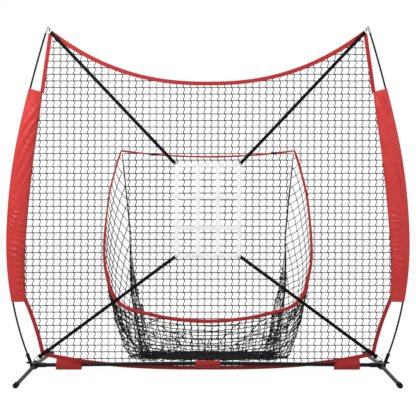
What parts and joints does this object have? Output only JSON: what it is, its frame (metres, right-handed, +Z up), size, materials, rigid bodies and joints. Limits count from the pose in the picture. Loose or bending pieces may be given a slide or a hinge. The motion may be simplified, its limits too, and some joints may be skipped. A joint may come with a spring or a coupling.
{
  "type": "pitching target net",
  "caption": "Free-standing bow-frame sports net with a ball pocket behind its mouth, a strap strike-zone target and four folding legs.",
  "frame": {"origin": "on the floor under the middle of the base bar, at the bottom centre of the bounding box", "axes": "+X to the right along the base bar, +Y to the back (the pocket side), +Z up"},
  "size_m": [2.4558, 1.001, 2.0956],
  "materials": {
    "dark_steel": "satin black powder coat",
    "leg_steel": "satin dark grey powder coat",
    "foot_rubber": "matt moulded rubber",
    "plated_steel": "zinc plated",
    "nylon": "natural nylon",
    "black_plastic": "matt moulded nylon",
    "fibreglass": "smooth black resin",
    "bright_metal": "bright plated",
    "black_netting": "knotted polyester cord",
    "black_webbing": "plain woven webbing",
    "white_webbing": "plain woven webbing",
    "red_fabric": "coated woven polyester"
  },
  "bodies": {
    "frame_and_net": {"hub_left": "dark_steel", "hub_right": "dark_steel", "base_bar_left": "dark_steel", "base_bar_right": "dark_steel", "bar_coupler": "plated_steel", "pivot_bolts": "plated_steel", "pivot_nuts": "plated_steel", "pivot_washers": "nylon", "pole_lower_left": "fibreglass", "pole_lower_right": "fibreglass", "pole_middle_left": "fibreglass", "pole_middle_right": "fibreglass", "pole_upper_left": "fibreglass", "pole_upper_right": "fibreglass", "pole_ferrules": "bright_metal", "pole_tips": "bright_metal", "main_net": "black_netting", "top_hem": "red_fabric", "bottom_hem": "red_fabric", "side_hems_upper": "red_fabric", "side_hems_lower": "red_fabric", "side_sleeve_left": "red_fabric", "side_sleeve_right": "red_fabric", "bar_sleeves": "red_fabric", "corner_patches": "black_webbing", "corner_loops": "black_webbing", "mouth_trim": "red_fabric", "mouth_ties": "black_webbing", "pocket_back": "black_netting", "pocket_side_left": "black_netting", "pocket_side_right": "black_netting", "pocket_floor": "black_netting", "pocket_seams": "black_netting", "target_uprights": "white_webbing", "target_crossbars": "white_webbing", "strap_upper_left": "black_webbing", "strap_upper_right": "black_webbing", "strap_lower_left": "black_webbing", "strap_lower_right": "black_webbing", "strap_adjusters": "black_plastic", "strap_hook_left": "bright_metal", "strap_hook_right": "bright_metal"},
    "leg_front_left": {"leg_front_left": "leg_steel", "foot_front_left": "foot_rubber"},
    "leg_front_right": {"leg_front_right": "leg_steel", "foot_front_right": "foot_rubber"},
    "leg_rear_left": {"leg_rear_left": "leg_steel", "foot_rear_left": "foot_rubber"},
    "leg_rear_right": {"leg_rear_right": "leg_steel", "foot_rear_right": "foot_rubber"},
    "hub_button_left": {"hub_button_left": "plated_steel"},
    "hub_button_right": {"hub_button_right": "plated_steel"},
    "coupler_button_left": {"coupler_button_left": "plated_steel"},
    "coupler_button_right": {"coupler_button_right": "plated_steel"},
    "wing_screw_left": {"wing_screw_left": "black_plastic"},
    "wing_screw_right": {"wing_screw_right": "black_plastic"},
    "hook_gate_left": {"hook_gate_left": "bright_metal"},
    "hook_gate_right": {"hook_gate_right": "bright_metal"}
  },
  "joints": [
    {"name": "leg_front_left_fold", "type": "hinge", "parent": "frame_and_net", "child": "leg_front_left", "pos_m": [-1.051, -0.036, 0.031], "axis": [0, 0, 1], "range_deg": [0, 90]},
    {"name": "leg_front_right_fold", "type": "hinge", "parent": "frame_and_net", "child": "leg_front_right", "pos_m": [1.051, -0.036, 0.031], "axis": [0, 0, -1], "range_deg": [0, 90]},
    {"name": "leg_rear_left_fold", "type": "hinge", "parent": "frame_and_net", "child": "leg_rear_left", "pos_m": [-1.051, 0.036, 0.031], "axis": [0, 0, -1], "range_deg": [0, 90]},
    {"name": "leg_rear_right_fold", "type": "hinge", "parent": "frame_and_net", "child": "leg_rear_right", "pos_m": [1.051, 0.036, 0.031], "axis": [0, 0, 1], "range_deg": [0, 90]},
    {"name": "hub_button_left_press", "type": "slide", "parent": "frame_and_net", "child": "hub_button_left", "axis": [0.0114, 0, -0.9999], "range_m": [0, 0.0046], "stiffness_N_per_m": 1200, "springref_m": -0.001},
    {"name": "coupler_button_left_press", "type": "slide", "parent": "frame_and_net", "child": "coupler_button_left", "axis": [0.0114, 0, -0.9999], "range_m": [0, 0.0036], "stiffness_N_per_m": 1200, "springref_m": -0.001},
    {"name": "wing_screw_left_turn", "type": "hinge", "parent": "frame_and_net", "child": "wing_screw_left", "pos_m": [-1.09782, 0, 0.046], "axis": [-1, 0, 0], "continuous": true},
    {"name": "hook_gate_left_open", "type": "hinge", "parent": "frame_and_net", "child": "hook_gate_left", "pos_m": [-1.04168, 0.01265, 0.07851], "axis": [0, -1, 0], "range_deg": [0, 25], "stiffness_Nm_per_rad": 0.05, "springref_deg": -11.46},
    {"name": "hub_button_right_press", "type": "slide", "parent": "frame_and_net", "child": "hub_button_right", "axis": [-0.0114, 0, -0.9999], "range_m": [0, 0.0046], "stiffness_N_per_m": 1200, "springref_m": -0.001},
    {"name": "coupler_button_right_press", "type": "slide", "parent": "frame_and_net", "child": "coupler_button_right", "axis": [-0.0114, 0, -0.9999], "range_m": [0, 0.0036], "stiffness_N_per_m": 1200, "springref_m": -0.001},
    {"name": "wing_screw_right_turn", "type": "hinge", "parent": "frame_and_net", "child": "wing_screw_right", "pos_m": [1.09782, 0, 0.046], "axis": [1, 0, 0], "continuous": true},
    {"name": "hook_gate_right_open", "type": "hinge", "parent": "frame_and_net", "child": "hook_gate_right", "pos_m": [1.04168, 0.01265, 0.07851], "axis": [0, 1, 0], "range_deg": [0, 25], "stiffness_Nm_per_rad": 0.05, "springref_deg": -11.46}
  ]
}
